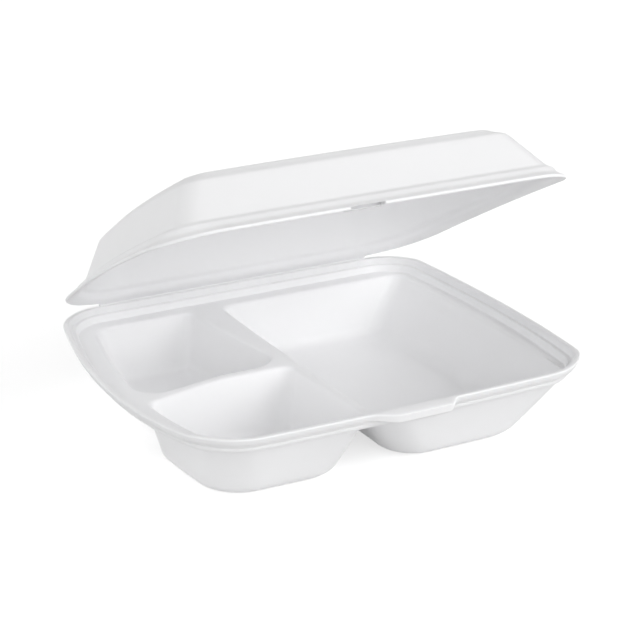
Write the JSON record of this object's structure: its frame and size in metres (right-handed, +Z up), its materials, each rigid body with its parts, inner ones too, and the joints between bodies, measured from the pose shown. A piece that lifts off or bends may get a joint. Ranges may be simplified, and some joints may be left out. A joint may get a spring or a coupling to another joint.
{
  "type": "hinged-lid menu box",
  "caption": "Disposable hinged-lid menu box of white foamed polystyrene: compartment tray with a stepped rim, domed lid on a fold hinge, front latch tab and slot.",
  "frame": {"origin": "under the middle of the box as it stands with its lid part open, at the level that the tray stands on", "axes": "+X along the hinge to the large compartment's side, +Y from the front latch to the hinge, +Z up"},
  "size_m": [0.242, 0.211, 0.156],
  "materials": {
    "foam": "matte, fine closed cells"
  },
  "bodies": {
    "tray": {"tray": "foam"},
    "lid": {"lid": "foam"}
  },
  "joints": [
    {"name": "lid_hinge", "type": "hinge", "parent": "tray", "child": "lid", "pos_m": [0, 0.10484, 0.0408], "axis": [-1, 0, 0], "range_deg": [-27.8, 150]}
  ]
}
